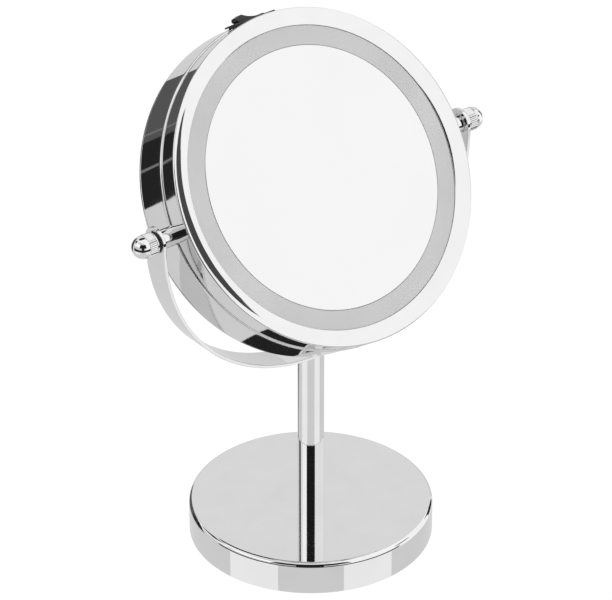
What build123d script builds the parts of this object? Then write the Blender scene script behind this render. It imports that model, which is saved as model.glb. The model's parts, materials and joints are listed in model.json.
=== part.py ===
"""Free-standing lighted vanity mirror: weighted round base, stem, yoke, and a double-sided lighted head.

Millimetres. +Z is up and the origin is the centre of the base's underside. The head turns in the yoke
about the X axis at PIVOT_Z. Its front mirror faces -Y and is modelled tilted back by HEAD_TILT.
"""
from math import cos, radians, sin, sqrt
import os

from build123d import *

# ---------------------------------------------------------------- driving dimensions
BASE_R = 63.5
BASE_H = 18.7
BASE_EDGE_R = 2.5
BASE_WALL = 1.2
PAD_H = 1.6

STEM_R = 6.9
STEM_WALL = 1.0

PIVOT_Z = 208.0
HEAD_TILT = 35.2

YOKE_R = 98.0
YOKE_CENTRE_Z = 206.0
YOKE_THICK = 1.8
YOKE_WIDTH = 15.5
YOKE_END_R = 8.0

DRUM_R = 86.0
DRUM_WALL = 1.6
DRUM_FRONT = 12.6
DRUM_REAR = 21.0
SEAM_R = 86.7
SEAM_HALF = 1.2
BEZEL_R = 86.6
REAR_BEZEL_R = 85.8
RING_R = 77.7
MIRROR_R = 67.6
FACE_FRONT = 12.0
FACE_REAR = 21.0
MAGNIFIER_R = 900.0

STUD_R = 2.5
BUSH_R = 5.0
KNOB_R = 6.05
KNURLS = 36
KNURL_CUT = 0.42
RUN = 0.06

SWITCH_A = 0.5
SWITCH_TOP = 87.2
ROCKER_TILT = 13.0

LED_COUNT = 30
TWIST = 20.0

# ---------------------------------------------------------------- derived frames and sizes
NORMAL = (0, -cos(radians(HEAD_TILT)), sin(radians(HEAD_TILT)))
UPWARD = (0, sin(radians(HEAD_TILT)), cos(radians(HEAD_TILT)))
PIVOT = (0, 0, PIVOT_Z)
HEAD_AXIS = Axis(PIVOT, NORMAL)
# HEAD lies across the drum: its local x is X, y is towards the rim's top, z is the front mirror's normal.
HEAD = Plane(origin=PIVOT, x_dir=(1, 0, 0), z_dir=NORMAL)
# SECTION holds drum profiles: its local x is the radius and y is the distance forward along the axis.
SECTION = Plane(origin=PIVOT, x_dir=(1, 0, 0), z_dir=tuple(-c for c in UPWARD))

DRUM_BORE = DRUM_R - DRUM_WALL
YOKE_INNER = YOKE_R - YOKE_THICK
YOKE_TOP = YOKE_CENTRE_Z - YOKE_INNER
YOKE_UNDER = YOKE_CENTRE_Z - YOKE_R
RIB_R = 76.0
RIB_H = 1.4
CHASSIS_R = 83.5
CHASSIS_H = 1.6
CHASSIS_FACE = RIB_H + CHASSIS_H
SHELL_SCREW_R = 79.0
POST_R = 72.5
SCREW_HOLE_R = 1.3
SEAM_DEPTH = 1.7
SCREW_ANGLES = (45, 135, 225, 315)
PIVOT_NOTCH = 8.7
BUSH_START = 82.0
BUSH_END = YOKE_INNER - RUN
WASHER_T = 0.9
KNOB_START = YOKE_R + RUN + WASHER_T + RUN
KNOB_BARREL = 5.4
DOME_R = 5.9
DOME_NECK = 0.5

os.makedirs("parts", exist_ok=True)


def finish_piece(builder, label):
    """Label one sub-part and write its STEP file."""
    builder.part.label = label
    export_step(builder.part, f"parts/{label}.step")


def arc_point(radius, degrees):
    """Point on a circle about the sketch origin."""
    return (radius * cos(radians(degrees)), radius * sin(radians(degrees)))


def sector(inner, outer, start, sweep):
    """Annular sector face, angles in degrees from local x, for use inside a BuildSketch."""
    with BuildLine() as outline:
        CenterArc((0, 0), inner, start, sweep)
        CenterArc((0, 0), outer, start, sweep)
        Line(arc_point(inner, start), arc_point(outer, start))
        Line(arc_point(inner, start + sweep), arc_point(outer, start + sweep))
    make_face(outline.edges())


def side_plane(x, side):
    """Plane across the pivot axis at distance x, facing outwards on side +1 or -1."""
    return Plane(origin=(side * x, 0, PIVOT_Z), x_dir=(0, side, 0), z_dir=(side, 0, 0))


# ================================================================ stand: base
COVER_SKIRT = 1.0  # how far the cover reaches down past the pad's top
COVER_STEP = 1.5
BOLT_HOLE_R = 3.2

with BuildPart() as base_cover:
    with BuildSketch(Plane.XY.offset(PAD_H - COVER_SKIRT)):
        Circle(BASE_R)
    extrude(amount=BASE_H - PAD_H + COVER_SKIRT)
    fillet(base_cover.edges().group_by(Axis.Z)[-1], BASE_EDGE_R)
    with BuildSketch(Plane.XY):
        Circle(BASE_R - BASE_WALL)
    extrude(amount=BASE_H - BASE_WALL - COVER_SKIRT, mode=Mode.SUBTRACT)
    with BuildSketch(Plane.XY):
        Circle(BASE_R - BASE_WALL - COVER_STEP)
    extrude(amount=BASE_H - BASE_WALL, mode=Mode.SUBTRACT)
    with BuildSketch(Plane.XY):
        Circle(BOLT_HOLE_R)
    extrude(amount=BASE_H, mode=Mode.SUBTRACT)
finish_piece(base_cover, "base_cover")

PLATE_TOP = PAD_H + 1.2
WEIGHT_BOTTOM = PLATE_TOP
WEIGHT_TOP = BASE_H - BASE_WALL
WEIGHT_R = 52.0
POCKET_R = 8.5
POCKET_H = 6.5
PLATE_SCREW_CIRCLE = 46.0
PLATE_SCREWS = 3
PLATE_SCREW_LEN = 8.0

with BuildPart() as base_weight:
    with BuildSketch(Plane.XY.offset(WEIGHT_BOTTOM)):
        Circle(WEIGHT_R)
    extrude(amount=WEIGHT_TOP - WEIGHT_BOTTOM)
    chamfer(base_weight.edges().group_by(Axis.Z)[-1], 1.0)
    with BuildSketch(Plane.XY.offset(WEIGHT_BOTTOM)):
        Circle(POCKET_R)
    extrude(amount=POCKET_H, mode=Mode.SUBTRACT)
    with BuildSketch(Plane.XY.offset(WEIGHT_BOTTOM)):
        Circle(BOLT_HOLE_R)
        with PolarLocations(PLATE_SCREW_CIRCLE, PLATE_SCREWS):
            Circle(1.55)
    extrude(amount=WEIGHT_TOP - WEIGHT_BOTTOM, mode=Mode.SUBTRACT)
finish_piece(base_weight, "base_weight")

with BuildPart() as base_plate:
    with BuildSketch(Plane.XY.offset(PAD_H)):
        Circle(BASE_R - BASE_WALL - 0.2)
    extrude(amount=PLATE_TOP - PAD_H)
    with Locations(Plane.XY.offset(PAD_H)):
        with PolarLocations(PLATE_SCREW_CIRCLE, PLATE_SCREWS):
            CounterSinkHole(1.6, 3.0, counter_sink_angle=90)
    with BuildSketch(Plane.XY.offset(PAD_H)):
        with PolarLocations(PLATE_SCREW_CIRCLE, PLATE_SCREWS):
            Circle(3.0)
    extrude(amount=PLATE_TOP - PAD_H, mode=Mode.SUBTRACT)
finish_piece(base_plate, "base_plate")

with BuildPart() as plate_screws:
    with BuildSketch(Plane.XY.offset(PAD_H)):
        with PolarLocations(PLATE_SCREW_CIRCLE, PLATE_SCREWS):
            Circle(2.9)
    extrude(amount=PLATE_TOP - PAD_H)
    with BuildSketch(Plane.XY.offset(PLATE_TOP)):
        with PolarLocations(PLATE_SCREW_CIRCLE, PLATE_SCREWS):
            Circle(1.5)
    extrude(amount=PLATE_SCREW_LEN)
finish_piece(plate_screws, "plate_screws")

with BuildPart() as base_pad:
    with BuildSketch(Plane.XY):
        Circle(BASE_R - 2.5)
    extrude(amount=PAD_H)
    fillet(base_pad.edges().group_by(Axis.Z)[0], 0.4)
finish_piece(base_pad, "base_pad")

STEM_WASHER_T = 1.2
BOLT_HEAD_TOP = WEIGHT_BOTTOM + POCKET_H - STEM_WASHER_T
BOLT_HEAD_H = 4.0
BOLT_R = 3.0
BOLT_LEN = 22.0

with BuildPart() as stem_washer:
    with BuildSketch(Plane.XY.offset(BOLT_HEAD_TOP)):
        Circle(7.0)
        Circle(BOLT_HOLE_R, mode=Mode.SUBTRACT)
    extrude(amount=STEM_WASHER_T)
finish_piece(stem_washer, "stem_washer")

with BuildPart() as stem_bolt:
    with BuildSketch(Plane.XY.offset(BOLT_HEAD_TOP - BOLT_HEAD_H)):
        RegularPolygon(5.0, 6, major_radius=False)
    extrude(amount=BOLT_HEAD_H)
    chamfer(stem_bolt.edges().group_by(Axis.Z)[0], 0.4)
    with BuildSketch(Plane.XY.offset(BOLT_HEAD_TOP)):
        Circle(BOLT_R)
    extrude(amount=BOLT_LEN)
finish_piece(stem_bolt, "stem_bolt")

# ================================================================ stand: stem and yoke
with BuildPart() as stem_tube:
    with BuildSketch(Plane.XY.offset(BASE_H)):
        Circle(STEM_R)
        Circle(STEM_R - STEM_WALL, mode=Mode.SUBTRACT)
    extrude(amount=YOKE_UNDER - BASE_H + 1.0)
    with BuildSketch(Plane.XZ.offset(-STEM_R - 1)):
        with Locations((0, YOKE_CENTRE_Z)):
            Circle(YOKE_R)
    extrude(amount=2 * STEM_R + 2, mode=Mode.SUBTRACT)
finish_piece(stem_tube, "stem_tube")

INSERT_R = STEM_R - STEM_WALL
FOOT_INSERT_H = 16.0
TOP_INSERT_H = 15.0
INSERT_TOP = YOKE_UNDER - 0.1
YOKE_SCREW_R = 2.0

with BuildPart() as stem_foot_insert:
    with BuildSketch(Plane.XY.offset(BASE_H)):
        Circle(INSERT_R)
        Circle(BOLT_R + 0.05, mode=Mode.SUBTRACT)
    extrude(amount=FOOT_INSERT_H)
finish_piece(stem_foot_insert, "stem_foot_insert")

with BuildPart() as stem_top_insert:
    with BuildSketch(Plane.XY.offset(INSERT_TOP - TOP_INSERT_H)):
        Circle(INSERT_R)
        Circle(YOKE_SCREW_R + 0.05, mode=Mode.SUBTRACT)
    extrude(amount=TOP_INSERT_H)
finish_piece(stem_top_insert, "stem_top_insert")

with BuildPart() as yoke_strap:
    with BuildSketch(Plane.XZ.offset(-YOKE_WIDTH / 2)):
        with BuildLine():
            CenterArc((0, YOKE_CENTRE_Z), YOKE_R, 180, 180)
            CenterArc((0, YOKE_CENTRE_Z), YOKE_INNER, 180, 180)
            for arm_side in (-1, 1):
                Line((arm_side * YOKE_R, YOKE_CENTRE_Z), (arm_side * YOKE_R, PIVOT_Z + YOKE_END_R))
                Line((arm_side * YOKE_INNER, YOKE_CENTRE_Z), (arm_side * YOKE_INNER, PIVOT_Z + YOKE_END_R))
                Line((arm_side * YOKE_R, PIVOT_Z + YOKE_END_R), (arm_side * YOKE_INNER, PIVOT_Z + YOKE_END_R))
        make_face()
    extrude(amount=YOKE_WIDTH)
    end_corners = yoke_strap.edges().filter_by(Axis.X).group_by(Axis.Z)[-1]
    fillet(end_corners, YOKE_WIDTH / 2 - 0.05)
    with BuildSketch(Plane.YZ.offset(-YOKE_R - 1)):
        with Locations((0, PIVOT_Z)):
            Circle(STUD_R + RUN)
    extrude(amount=2 * YOKE_R + 2, mode=Mode.SUBTRACT)
    with BuildSketch(Plane.XY.offset(YOKE_UNDER - 1)):
        Circle(YOKE_SCREW_R + 0.1)
    extrude(amount=YOKE_THICK + 2, mode=Mode.SUBTRACT)
finish_piece(yoke_strap, "yoke_strap")

YOKE_SCREW_SEAT = YOKE_TOP + 0.15
YOKE_SCREW_HEAD_H = 2.0
YOKE_SCREW_LEN = 12.0

with BuildPart() as yoke_screw:
    with BuildSketch(Plane.XY.offset(YOKE_SCREW_SEAT)):
        Circle(4.4)
    extrude(amount=YOKE_SCREW_HEAD_H)
    fillet(yoke_screw.edges().group_by(Axis.Z)[-1], 1.2)
    with BuildSketch(Plane.XY.offset(YOKE_TOP - YOKE_SCREW_LEN)):
        Circle(YOKE_SCREW_R)
    extrude(amount=YOKE_SCREW_LEN + 0.5)
    with BuildSketch(Plane.XY.offset(YOKE_SCREW_SEAT + YOKE_SCREW_HEAD_H)):
        RegularPolygon(1.5, 6)
    extrude(amount=-1.0, mode=Mode.SUBTRACT)
finish_piece(yoke_screw, "yoke_screw")


# ================================================================ head: shells and trim rings
def cut_pivot_notch():
    """Clear the inner ribs at both sides so that the pivot blocks fit."""
    with BuildSketch(HEAD.offset(-7.5)) as notch:
        with Locations((-RIB_R - 2, 0), (RIB_R + 2, 0)):
            Rectangle(12.4, 2 * PIVOT_NOTCH)
    extrude(notch.sketch, amount=15.0, mode=Mode.SUBTRACT)


def cut_bush_holes():
    """Bore the rim for the pivot bushes, right through along X."""
    with BuildSketch(Plane(origin=(-DRUM_R - 2, 0, PIVOT_Z), x_dir=(0, 1, 0), z_dir=(1, 0, 0))) as bore:
        Circle(BUSH_R)
    extrude(bore.sketch, amount=2 * DRUM_R + 4, mode=Mode.SUBTRACT)


SWITCH_BODY_X = 23.0
SWITCH_BODY_A = 7.6
SWITCH_BODY_BOTTOM = 74.0


def cut_switch_hole(clear):
    """Open the top of the rim for the switch body."""
    top = Plane(origin=PIVOT, x_dir=(1, 0, 0), z_dir=UPWARD)
    with BuildSketch(top.offset(70.0)) as slot:
        with Locations((0, -SWITCH_A)):
            Rectangle(SWITCH_BODY_X + clear, SWITCH_BODY_A + clear)
    extrude(slot.sketch, amount=20.0, mode=Mode.SUBTRACT)


def cut_screw_holes(radius, angles, hole):
    """Through holes parallel to the drum's axis."""
    with BuildSketch(HEAD.offset(-20)) as holes:
        for angle in angles:
            with Locations(arc_point(radius, angle)):
                Circle(hole)
    extrude(holes.sketch, amount=40, mode=Mode.SUBTRACT)


with BuildPart() as front_shell:
    with BuildSketch(SECTION):
        with BuildLine():
            Polyline(
                (RIB_R, 0), (SEAM_R - SEAM_DEPTH, 0), (SEAM_R - SEAM_DEPTH, SEAM_HALF), (DRUM_R, SEAM_HALF),
                (DRUM_R, DRUM_FRONT), (DRUM_BORE, DRUM_FRONT), (DRUM_BORE, RIB_H), (RIB_R, RIB_H),
                close=True,
            )
        make_face()
    revolve(axis=HEAD_AXIS)
    cut_pivot_notch()
    cut_bush_holes()
    cut_switch_hole(0.2)
    cut_screw_holes(SHELL_SCREW_R, SCREW_ANGLES, SCREW_HOLE_R)
finish_piece(front_shell, "front_shell")

LUG_ANGLES = (30, 150, 270)
LUG_HALF = 2.0
LUG_BACK = -17.2
LUG_FRONT = -15.4

with BuildPart() as rear_shell:
    with BuildSketch(SECTION):
        with BuildLine():
            Polyline(
                (RIB_R, 0), (SEAM_R - SEAM_DEPTH, 0), (SEAM_R - SEAM_DEPTH, -SEAM_HALF), (DRUM_R, -SEAM_HALF),
                (DRUM_R, -DRUM_REAR), (DRUM_BORE, -DRUM_REAR), (DRUM_BORE, -RIB_H), (RIB_R, -RIB_H),
                close=True,
            )
        make_face()
    revolve(axis=HEAD_AXIS)
    with BuildSketch(HEAD.offset(LUG_BACK)):
        for lug_angle in LUG_ANGLES:
            sector(DRUM_BORE - 1.8, DRUM_BORE + 0.4, lug_angle - LUG_HALF, 2 * LUG_HALF)
    extrude(amount=LUG_FRONT - LUG_BACK)
    cut_pivot_notch()
    cut_bush_holes()
    cut_switch_hole(0.2)
    cut_screw_holes(SHELL_SCREW_R, SCREW_ANGLES, SCREW_HOLE_R)
finish_piece(rear_shell, "rear_shell")

with BuildPart() as seam_band:
    with BuildSketch(SECTION) as seam_band_sketch:
        with Locations(((SEAM_R - SEAM_DEPTH + SEAM_R) / 2, 0)):
            Rectangle(SEAM_DEPTH, 2 * SEAM_HALF)
        fillet(seam_band_sketch.vertices().group_by(Axis.X)[-1], 0.6)
    revolve(axis=HEAD_AXIS)
    cut_bush_holes()
    cut_switch_hole(0.2)
finish_piece(seam_band, "seam_band")

BEZEL_FACE = 14.2
LIP_FACE = 12.35
RING_SEAT = 11.2


def bezel_profile(sign, outer, face, lip, seat, shell_edge, skirt_outer, skirt_inner, skirt_end):
    """Trim ring section; sign is +1 for the front of the drum and -1 for the rear."""
    with BuildLine() as outline:
        Line((outer, sign * shell_edge), (outer, sign * (face - 0.8)))
        RadiusArc((outer, sign * (face - 0.8)), (outer - 0.8, sign * face), -0.8 * sign)
        Polyline(
            (outer - 0.8, sign * face), (RING_R, sign * lip), (RING_R, sign * seat),
            (skirt_inner, sign * seat), (skirt_inner, sign * skirt_end), (skirt_outer, sign * skirt_end),
            (skirt_outer, sign * shell_edge), (outer, sign * shell_edge),
        )
    make_face(outline.edges())


with BuildPart() as front_bezel:
    with BuildSketch(SECTION):
        bezel_profile(1, BEZEL_R, BEZEL_FACE, LIP_FACE, RING_SEAT, DRUM_FRONT, DRUM_BORE, 82.8, 6.0)
    revolve(axis=HEAD_AXIS)
finish_piece(front_bezel, "front_bezel")


# ================================================================ head: front light and mirror
def light_ring_profile(sign, face, seat, bottom):
    """Frosted ring section: a flat face with a lower flange under the bezel's lip."""
    with BuildLine() as outline:
        Polyline(
            (MIRROR_R + 0.1, sign * face), (RING_R - 0.1, sign * face), (RING_R - 0.1, sign * seat),
            (80.5, sign * seat), (80.5, sign * bottom), (MIRROR_R + 0.1, sign * bottom), close=True,
        )
    make_face(outline.edges())


with BuildPart() as front_light_ring:
    with BuildSketch(SECTION):
        light_ring_profile(1, FACE_FRONT, RING_SEAT, 9.5)
    revolve(axis=HEAD_AXIS)
finish_piece(front_light_ring, "front_light_ring")

with BuildPart() as front_mirror:
    with BuildSketch(HEAD.offset(FACE_FRONT - 3.0)):
        Circle(MIRROR_R)
    extrude(amount=3.0)
    chamfer(front_mirror.edges().filter_by(GeomType.CIRCLE).sort_by(Axis.Z)[-1], 0.3)
finish_piece(front_mirror, "front_mirror")

with BuildPart() as mirror_tape:
    with BuildSketch(HEAD.offset(8.4)):
        Circle(58.0)
    extrude(amount=0.6)
finish_piece(mirror_tape, "mirror_tape")

TROUGH_IN = 66.0
with BuildPart() as front_tray:
    with BuildSketch(SECTION):
        with BuildLine():
            Polyline(
                (0, 7.0), (TROUGH_IN, 7.0), (TROUGH_IN, CHASSIS_FACE), (TROUGH_IN + 1.9, CHASSIS_FACE),
                (TROUGH_IN + 1.9, 9.5), (MIRROR_R + 0.1, 9.5), (MIRROR_R + 0.1, 9.0), (61.0, 9.0),
                (61.0, 8.4), (0, 8.4), close=True,
            )
        make_face()
    revolve(axis=HEAD_AXIS)
finish_piece(front_tray, "front_tray")

REFLECTOR_R = 82.0
with BuildPart() as front_reflector:
    with BuildSketch(SECTION):
        with BuildLine():
            Polyline(
                (68.2, CHASSIS_FACE), (70.2, CHASSIS_FACE), (70.2, 4.4), (REFLECTOR_R, 4.4),
                (REFLECTOR_R, 9.5), (79.2, 9.5), (78.2, 6.4), (77.9, 5.2), (68.2, 5.2), close=True,
            )
        make_face()
    revolve(axis=HEAD_AXIS)
finish_piece(front_reflector, "front_reflector")

LED_R = 73.2


def led_board(bottom, sign):
    """Ring-shaped circuit board standing on a trough floor."""
    with BuildSketch(HEAD.offset(bottom)) as ring:
        Circle(77.6)
        Circle(68.6, mode=Mode.SUBTRACT)
    extrude(ring.sketch, amount=sign * 1.0)


def led_chips(bottom, sign):
    """One ring of separate light-emitting diodes."""
    with BuildSketch(HEAD.offset(bottom)) as chips:
        with PolarLocations(LED_R, LED_COUNT):
            Rectangle(2.8, 3.5)
    extrude(chips.sketch, amount=sign * 0.8)


with BuildPart() as front_led_board:
    led_board(5.2, 1)
finish_piece(front_led_board, "front_led_board")

with BuildPart() as front_leds:
    led_chips(6.2, 1)
finish_piece(front_leds, "front_leds")

# ================================================================ head: chassis and fasteners
BRACKET_SCREW_X = 67.0
BRACKET_SCREWS = ((-BRACKET_SCREW_X, -5), (-BRACKET_SCREW_X, 5), (BRACKET_SCREW_X, -5), (BRACKET_SCREW_X, 5))
BOARD_Y = -44.0
BOARD_SCREWS = ((-14, BOARD_Y), (14, BOARD_Y))

with BuildPart() as chassis:
    with BuildSketch(HEAD.offset(RIB_H)):
        Circle(CHASSIS_R)
        with Locations((-CHASSIS_R, 0), (CHASSIS_R, 0)):
            Rectangle(23.4, 2 * PIVOT_NOTCH, mode=Mode.SUBTRACT)
        with Locations((0, CHASSIS_R)):
            Rectangle(26.0, 26.0, mode=Mode.SUBTRACT)
        with Locations(*BRACKET_SCREWS, *BOARD_SCREWS):
            Circle(SCREW_HOLE_R, mode=Mode.SUBTRACT)
        for screw_angle in SCREW_ANGLES:
            with Locations(arc_point(SHELL_SCREW_R, screw_angle), arc_point(POST_R, screw_angle)):
                Circle(SCREW_HOLE_R, mode=Mode.SUBTRACT)
    extrude(amount=CHASSIS_H)
    with BuildSketch(HEAD.offset(RIB_H)):
        with Locations(*BOARD_SCREWS):
            Circle(2.5)
            Circle(SCREW_HOLE_R, mode=Mode.SUBTRACT)
    extrude(amount=-2.2)
finish_piece(chassis, "chassis")


def cap_screws(places, seat, direction, head_r, head_h, shank_r, shank):
    """Pan-head screws whose heads sit on the plane at seat and whose shanks run along direction."""
    with BuildSketch(HEAD.offset(seat)) as heads:
        with Locations(*places):
            Circle(head_r)
    extrude(heads.sketch, amount=-direction * head_h)
    with BuildSketch(HEAD.offset(seat)) as shanks:
        with Locations(*places):
            Circle(shank_r)
    extrude(shanks.sketch, amount=direction * shank)


with BuildPart() as shell_screws:
    cap_screws([arc_point(SHELL_SCREW_R, a) for a in SCREW_ANGLES], -RIB_H, 1, 2.2, 1.5, 1.25, 4.2)
finish_piece(shell_screws, "shell_screws")

with BuildPart() as bracket_screws:
    cap_screws(BRACKET_SCREWS, -0.2, 1, 2.2, 1.5, 1.25, 3.0)
finish_piece(bracket_screws, "bracket_screws")

with BuildPart() as rear_reflector:
    with BuildSketch(SECTION):
        with BuildLine():
            Polyline(
                (68.4, -8.0), (REFLECTOR_R, -8.0), (REFLECTOR_R, -18.2), (80.9, -18.2),
                (77.9, -9.0), (68.4, -9.0), close=True,
            )
        make_face()
    revolve(axis=HEAD_AXIS)
    with BuildSketch(HEAD.offset(-8.0)):
        for post_angle in SCREW_ANGLES:
            with Locations(arc_point(POST_R, post_angle)):
                Circle(2.8)
    extrude(amount=8.0 + RIB_H)
    with BuildSketch(HEAD.offset(RIB_H)):
        for post_angle in SCREW_ANGLES:
            with Locations(arc_point(POST_R, post_angle)):
                Circle(1.25)
    extrude(amount=-8.0, mode=Mode.SUBTRACT)
finish_piece(rear_reflector, "rear_reflector")

with BuildPart() as post_screws:
    cap_screws([arc_point(POST_R, a) for a in SCREW_ANGLES], CHASSIS_FACE, -1, 2.0, 1.2, 1.2, 9.0)
finish_piece(post_screws, "post_screws")

with BuildPart() as rear_led_board:
    led_board(-9.0, -1)
finish_piece(rear_led_board, "rear_led_board")

with BuildPart() as rear_leds:
    led_chips(-10.0, -1)
finish_piece(rear_leds, "rear_leds")

# ================================================================ head: batteries and electronics
CELL_R = 5.2
CELL_LEN = 43.6
CELL_PITCH = 11.4
CELL_A = -5.5
HOLDER_X = 51.0
HOLDER_Y = 47.0
CELL_ROWS = [(row - 1.5) * CELL_PITCH for row in range(4)]

with BuildPart() as battery_holder:
    with BuildSketch(HEAD.offset(RIB_H)):
        RectangleRounded(HOLDER_X, HOLDER_Y, 1.5)
    extrude(amount=-10.0)
    with BuildSketch(HEAD.offset(RIB_H - 1.6)):
        Rectangle(HOLDER_X - 3.0, HOLDER_Y - 2.4)
    extrude(amount=-10.0, mode=Mode.SUBTRACT)
finish_piece(battery_holder, "battery_holder")

with BuildPart() as battery_cells:
    for row_index, row_y in enumerate(CELL_ROWS):
        plus = 1 if row_index % 2 == 0 else -1
        cell_plane = Plane(HEAD.from_local_coords(Vector(-plus * CELL_LEN / 2, row_y, CELL_A)),
                           x_dir=UPWARD, z_dir=(plus, 0, 0))
        with BuildSketch(cell_plane):
            Circle(CELL_R)
        extrude(amount=CELL_LEN)
        with BuildSketch(cell_plane.offset(CELL_LEN)):
            Circle(1.9)
        extrude(amount=0.8)
finish_piece(battery_cells, "battery_cells")

with BuildPart() as battery_contacts:
    for contact_side in (-1, 1):
        contact_x = contact_side * (HOLDER_X / 2 - 1.5)
        contact_plane = Plane(HEAD.from_local_coords(Vector(contact_x, 0, CELL_A)),
                              x_dir=UPWARD, z_dir=(-contact_side, 0, 0))
        with BuildSketch(contact_plane):
            for row_y in CELL_ROWS:
                with Locations((row_y, 0)):
                    Rectangle(8.0, 7.0)
        extrude(amount=0.4)
        with BuildSketch(contact_plane.offset(0.4)):
            for row_index, row_y in enumerate(CELL_ROWS):
                if (row_index % 2 == 0) == (contact_side < 0):
                    with Locations((row_y, 0)):
                        Circle(2.6)
                        Circle(2.0, mode=Mode.SUBTRACT)
        extrude(amount=1.6)
finish_piece(battery_contacts, "battery_contacts")

with BuildPart() as driver_board:
    with BuildSketch(HEAD.offset(-0.8)):
        with Locations((0, BOARD_Y)):
            Rectangle(36, 14)
        with Locations(*BOARD_SCREWS):
            Circle(SCREW_HOLE_R, mode=Mode.SUBTRACT)
    extrude(amount=-1.2)
finish_piece(driver_board, "driver_board")

with BuildPart() as driver_components:
    with BuildSketch(HEAD.offset(-2.0)):
        with Locations((-5, BOARD_Y)):
            Rectangle(6, 5)
        with Locations((5, BOARD_Y + 1)):
            Rectangle(5, 5)
        with Locations((0.5, BOARD_Y - 4.4)):
            Rectangle(3, 1.6)
    extrude(amount=-1.8)
finish_piece(driver_components, "driver_components")

with BuildPart() as driver_screws:
    cap_screws(BOARD_SCREWS, -2.0, 1, 2.2, 1.4, 1.25, 4.8)
finish_piece(driver_screws, "driver_screws")

with BuildPart() as lead_wires:
    for wire_side in (-1, 1):
        wire_path = [
            HEAD.from_local_coords(Vector(wire_side * x, y, a))
            for x, y, a in ((4, HOLDER_Y / 2, -4), (4, 33, -4), (6, 48, -1.5), (5, 62, SWITCH_A),
                            (5, SWITCH_BODY_BOTTOM, SWITCH_A))
        ]
        with BuildLine():
            FilletPolyline(*wire_path, radius=6.0)
        with BuildSketch(Plane(origin=wire_path[0], z_dir=UPWARD)):
            Circle(0.7)
        sweep()
finish_piece(lead_wires, "lead_wires")

# ================================================================ head: switch
SWITCH = Plane(origin=HEAD.from_local_coords(Vector(0, SWITCH_TOP, SWITCH_A)), x_dir=(1, 0, 0), z_dir=UPWARD)
ROCKER_AXIS_H = -1.8
ROCKER_W = 5.4
ROCKER_X = 9.8
POCKET_X = 21.8
POCKET_A = 6.0
POCKET_DEPTH = 6.4
FLANGE_T = 0.9
# Heights of the rocker's section above its own pivot.
PEAK_X = 6.4
PEAK_H = 3.9
SADDLE_H = 2.7
SHOULDER_H = 2.2
FOOT_H = 0.6
BELLY_H = -2.0

with BuildPart() as switch_housing:
    with BuildSketch(SWITCH.offset(-FLANGE_T)):
        RectangleRounded(27.0, 10.0, 1.6)
    extrude(amount=FLANGE_T)
    fillet(switch_housing.faces().sort_by(Axis(PIVOT, UPWARD))[-1].edges(), 0.35)
    with BuildSketch(SWITCH.offset(-FLANGE_T)):
        Rectangle(SWITCH_BODY_X, SWITCH_BODY_A)
    extrude(amount=-(SWITCH_TOP - FLANGE_T - SWITCH_BODY_BOTTOM))
    with BuildSketch(SWITCH):
        Rectangle(POCKET_X, POCKET_A)
    extrude(amount=-POCKET_DEPTH, mode=Mode.SUBTRACT)
finish_piece(switch_housing, "switch_housing")

# ROCKER_SIDE is the rocker's own section plane, tipped so that its -X end stands up.
ROCKER_PIVOT = HEAD.from_local_coords(Vector(0, SWITCH_TOP + ROCKER_AXIS_H, SWITCH_A - ROCKER_W / 2))
tip = radians(-ROCKER_TILT)
ROCKER_SIDE = Plane(
    origin=ROCKER_PIVOT,
    x_dir=HEAD.from_local_coords(Vector(cos(tip), sin(tip), 0)) - HEAD.from_local_coords(Vector(0, 0, 0)),
    z_dir=NORMAL,
)
with BuildPart() as rocker:
    with BuildSketch(ROCKER_SIDE):
        with BuildLine():
            ThreePointArc((-PEAK_X, PEAK_H), (0, SADDLE_H), (PEAK_X, PEAK_H))
            Line((PEAK_X, PEAK_H), (ROCKER_X, SHOULDER_H))
            Line((ROCKER_X, SHOULDER_H), (ROCKER_X, FOOT_H))
            ThreePointArc((ROCKER_X, FOOT_H), (0, BELLY_H), (-ROCKER_X, FOOT_H))
            Line((-ROCKER_X, FOOT_H), (-ROCKER_X, SHOULDER_H))
            Line((-ROCKER_X, SHOULDER_H), (-PEAK_X, PEAK_H))
        make_face()
    extrude(amount=ROCKER_W)
    fillet(rocker.edges().filter_by(Axis(PIVOT, NORMAL)), 0.5)
finish_piece(rocker, "rocker")

# ================================================================ head: rear frame, twists off for the batteries
SKIRT_OUT = DRUM_BORE - 0.4
SKIRT_IN = 82.4
SKIRT_END = 13.5

with BuildPart() as rear_bezel:
    with BuildSketch(SECTION):
        bezel_profile(-1, REAR_BEZEL_R, 23.0, 21.35, 20.2, DRUM_REAR + 0.15, SKIRT_OUT, SKIRT_IN, SKIRT_END)
    revolve(axis=HEAD_AXIS)
    with BuildSketch(HEAD.offset(LUG_BACK - 0.3)):
        for lug_angle in LUG_ANGLES:
            sector(SKIRT_IN - 1, SKIRT_OUT + 1, lug_angle - LUG_HALF - 0.5, TWIST + 2 * LUG_HALF + 1.0)
    extrude(amount=LUG_FRONT - LUG_BACK + 0.6, mode=Mode.SUBTRACT)
    with BuildSketch(HEAD.offset(LUG_BACK - 0.3)):
        for lug_angle in LUG_ANGLES:
            sector(SKIRT_IN - 1, SKIRT_OUT + 1, lug_angle + TWIST - LUG_HALF - 0.5, 2 * LUG_HALF + 1.0)
    extrude(amount=6.0, mode=Mode.SUBTRACT)
finish_piece(rear_bezel, "rear_bezel")

with BuildPart() as rear_light_ring:
    with BuildSketch(SECTION):
        light_ring_profile(-1, FACE_REAR, 20.2, 18.5)
    revolve(axis=HEAD_AXIS)
finish_piece(rear_light_ring, "rear_light_ring")

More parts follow.
